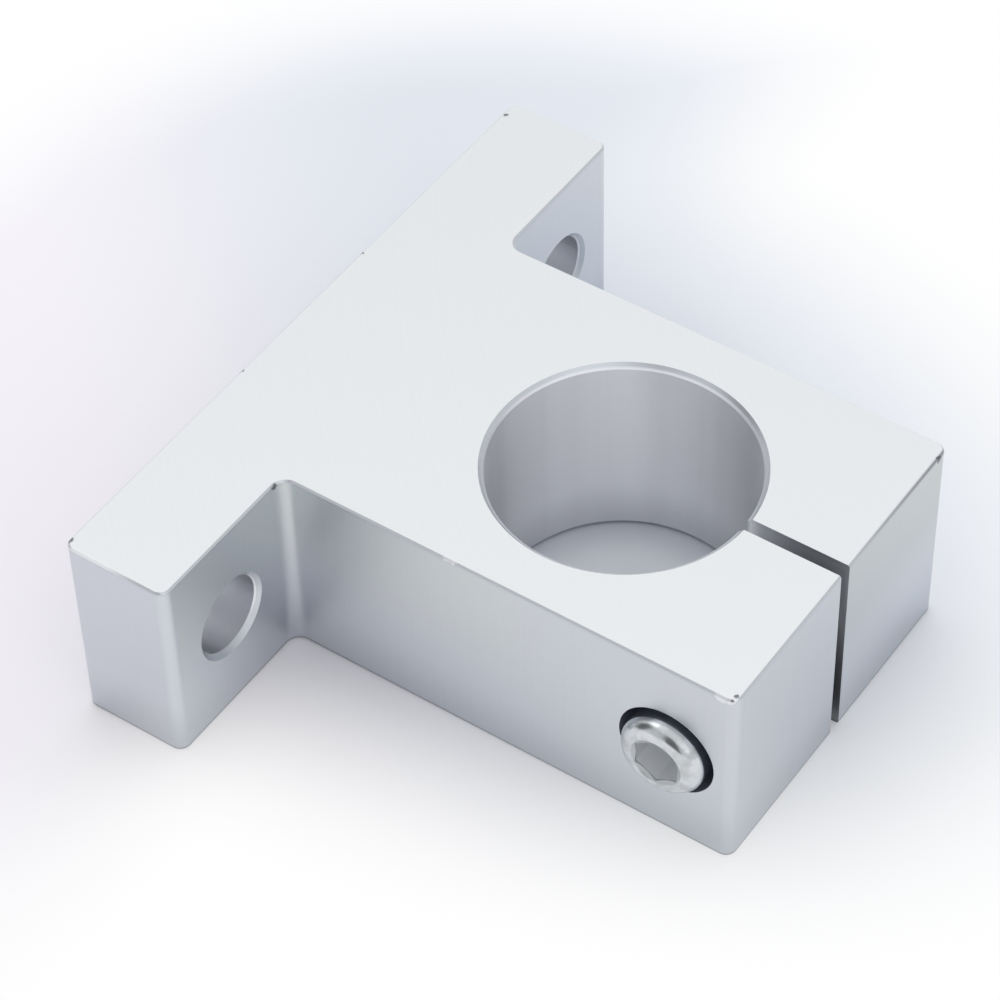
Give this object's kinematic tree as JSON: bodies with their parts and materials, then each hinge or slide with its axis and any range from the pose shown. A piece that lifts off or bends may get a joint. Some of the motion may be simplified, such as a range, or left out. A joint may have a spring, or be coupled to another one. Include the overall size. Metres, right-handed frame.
{
  "type": "shaft support block",
  "caption": "T-shaped clamp block that holds a round shaft in a split bore, closed by a socket head screw, with bolt holes in its base flanges.",
  "frame": {"origin": "on the axis of the shaft bore, half way along the block", "axes": "+Z along the shaft, up as the block lies on a sawn face; +Y from the base face to the open end of the clamp; +X towards the head of the clamp screw"},
  "size_m": [0.098, 0.082, 0.03],
  "materials": {
    "block_aluminium": "clear satin anodised",
    "screw_zinc_steel": "bright zinc plated"
  },
  "bodies": {
    "block": {"block": "block_aluminium"},
    "clamp_screw": {"clamp_screw": "screw_zinc_steel"}
  },
  "joints": [
    {"name": "clamp_screw_turn", "type": "hinge", "parent": "block", "child": "clamp_screw", "pos_m": [0, 0.0225, 0], "axis": [1, 0, 0], "range_deg": [0, 450]}
  ]
}
